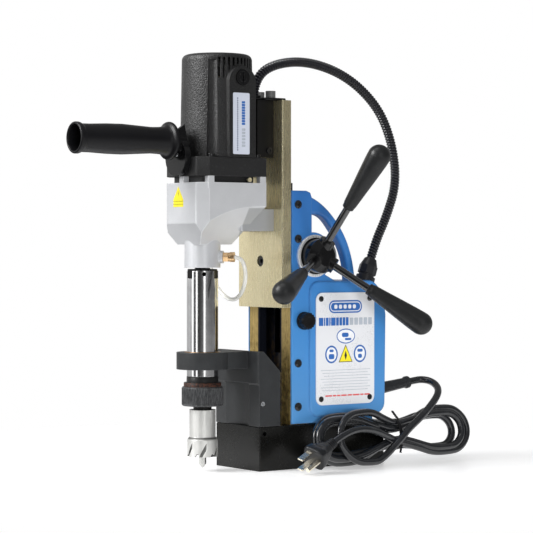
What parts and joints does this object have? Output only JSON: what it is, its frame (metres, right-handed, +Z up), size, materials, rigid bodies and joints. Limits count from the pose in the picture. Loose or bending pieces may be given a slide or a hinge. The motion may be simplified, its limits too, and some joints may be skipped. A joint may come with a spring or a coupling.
{
  "type": "magnetic drill press",
  "caption": "Magnetic-base drilling machine with a capstan-fed motor carriage, arbor support, annular cutter, side handle and tied mains lead.",
  "frame": {"origin": "centre of the magnetic base's bottom face", "axes": "+Z up along the feed; the spindle and side handle are at -Y, the capstan at +X"},
  "size_m": [0.1875, 0.4843, 0.4352],
  "materials": {
    "magnet_enamel": "near-black satin enamel over steel",
    "winding": "enamelled copper wire",
    "potting": "dark potting resin",
    "dark_steel": "blackened steel",
    "bright_steel": "bright plated steel",
    "support_paint": "dark grey satin paint on cast aluminium",
    "bronze": "sintered bronze",
    "gold_anodised": "golden hard-anodised aluminium",
    "turned_aluminium": "turned bright aluminium",
    "blue_coat": "semi-gloss blue powder coat on cast aluminium",
    "plate_face": null,
    "black_plastic": "black moulded plastic",
    "gland_nylon": "black nylon",
    "relief_rubber": "dark grey moulded rubber",
    "circuit_board": "green board with parts",
    "panel_plastic": "black textured plastic",
    "green_button": "green glossy plastic",
    "red_button": "red glossy plastic",
    "rocker_plastic": "black glossy plastic",
    "ground_steel": "ground steel",
    "black_oxide": "black oxide on steel",
    "black_gloss_rod": "black polished rod",
    "knob_plastic": "black satin phenolic",
    "tan_anodised": "tan anodised aluminium, machined",
    "slide_black": "blackened cast iron",
    "bracket_black": "black satin paint on aluminium",
    "motor_shell": "black fine-textured moulding",
    "flange_black": "black textured paint on cast aluminium",
    "lamination": "steel laminations",
    "label_foil": "pale printed foil with plain lines",
    "silver_paint": "fine silver paint on cast aluminium",
    "grip_rubber": "black moulded grip",
    "fitting_brass": "coppery brass",
    "clear_hose": "clear flexible tube",
    "armature_steel": "laminations, copper and steel",
    "polished_sleeve": "polished ground steel",
    "collar_steel": "blackened knurled steel",
    "cutter_steel": "bright ground high-speed steel",
    "pin_steel": "ground steel",
    "conduit_black": "black corrugated sheath",
    "cord_rubber": "black rubber sheath",
    "tie_plastic": "black twist tie",
    "plug_plastic": "black moulded plug",
    "prong_brass": "nickel-plated brass"
  },
  "bodies": {
    "frame": {"magnet_body": "magnet_enamel", "magnet_coil": "winding", "coil_potting": "potting", "base_bolts": "dark_steel", "side_screws": "bright_steel", "arbor_support": "support_paint", "support_bush": "bronze", "column": "gold_anodised", "gib_strips": "slide_black", "gib_screws": "dark_steel", "pinion_bushes": "bronze", "hub_flange": "turned_aluminium", "housing_right": "blue_coat", "housing_left": "blue_coat", "label_plate": "plate_face", "housing_screws": "dark_steel", "fuse_cap": "black_plastic", "conduit_gland": "gland_nylon", "strain_relief": "relief_rubber", "control_board": "circuit_board", "switch_panel": "panel_plastic", "conduit": "conduit_black", "power_cord": "cord_rubber", "cord_hank": "cord_rubber", "cord_tie": "tie_plastic", "plug_body": "plug_plastic", "plug_prongs": "prong_brass"},
    "carriage": {"carriage_plate": "tan_anodised", "carriage_slide": "slide_black", "feed_rack": "ground_steel", "carriage_screws": "dark_steel", "motor_bracket": "bracket_black", "top_cap": "bracket_black", "motor_housing": "motor_shell", "motor_flange": "flange_black", "stator": "lamination", "brush_caps": "black_plastic", "motor_label": "label_foil", "motor_screws": "dark_steel", "gearbox_housing": "silver_paint", "bearings": "ground_steel", "handle_mount": "black_plastic", "side_handle": "grip_rubber", "coolant_fittings": "fitting_brass", "coolant_hose": "clear_hose"},
    "capstan": {"pinion_shaft": "ground_steel", "capstan_hub": "black_oxide", "capstan_spokes": "black_gloss_rod", "spoke_knobs": "knob_plastic"},
    "spindle": {"spindle": "polished_sleeve", "cutter_collar": "collar_steel", "annular_cutter": "cutter_steel", "pilot_spring": "pin_steel"},
    "pilot": {"pilot_pin": "pin_steel"},
    "idler": {"intermediate_gear": "ground_steel"},
    "rotor": {"armature": "armature_steel"},
    "start_button": {"start_button": "green_button"},
    "stop_button": {"stop_button": "red_button"},
    "rocker": {"magnet_rocker": "rocker_plastic"}
  },
  "joints": [
    {"name": "carriage_feed", "type": "slide", "parent": "frame", "child": "carriage", "axis": [0, 0, 1], "range_m": [-0.065, 0.004], "deforming": ["conduit", "coolant_hose"]},
    {"name": "capstan_turn", "type": "hinge", "parent": "frame", "child": "capstan", "pos_m": [0, -0.0125, 0.223], "axis": [1, 0, 0], "range_deg": [-17, 267]},
    {"name": "spindle_spin", "type": "hinge", "parent": "carriage", "child": "spindle", "pos_m": [0, -0.1266, 0.15], "axis": [0, 0, 1], "continuous": true},
    {"name": "idler_spin", "type": "hinge", "parent": "carriage", "child": "idler", "pos_m": [0.01553, -0.11854, 0.26], "axis": [0, 0, 1], "continuous": true},
    {"name": "rotor_spin", "type": "hinge", "parent": "carriage", "child": "rotor", "pos_m": [0, -0.1085, 0.35], "axis": [0, 0, 1], "continuous": true},
    {"name": "pilot_slide", "type": "slide", "parent": "spindle", "child": "pilot", "axis": [0, 0, 1], "range_m": [0, 0.012], "stiffness_N_per_m": 400, "springref_m": -0.004, "deforming": ["pilot_spring"]},
    {"name": "start_press", "type": "slide", "parent": "frame", "child": "start_button", "axis": [1, 0, 0], "range_m": [0, 0.003], "stiffness_N_per_m": 500, "springref_m": -0.001},
    {"name": "stop_press", "type": "slide", "parent": "frame", "child": "stop_button", "axis": [1, 0, 0], "range_m": [0, 0.003], "stiffness_N_per_m": 500, "springref_m": -0.001},
    {"name": "rocker_tilt", "type": "hinge", "parent": "frame", "child": "rocker", "pos_m": [-0.0452, 0.03, 0.152], "axis": [0, 1, 0], "range_deg": [0, 18]}
  ],
  "couplings": [
    {"joint": "capstan_turn", "follows": "carriage_feed", "rad_per_m": -71.429},
    {"joint": "idler_spin", "follows": "spindle_spin", "ratio": -1.8},
    {"joint": "rotor_spin", "follows": "spindle_spin", "ratio": 4.86}
  ]
}
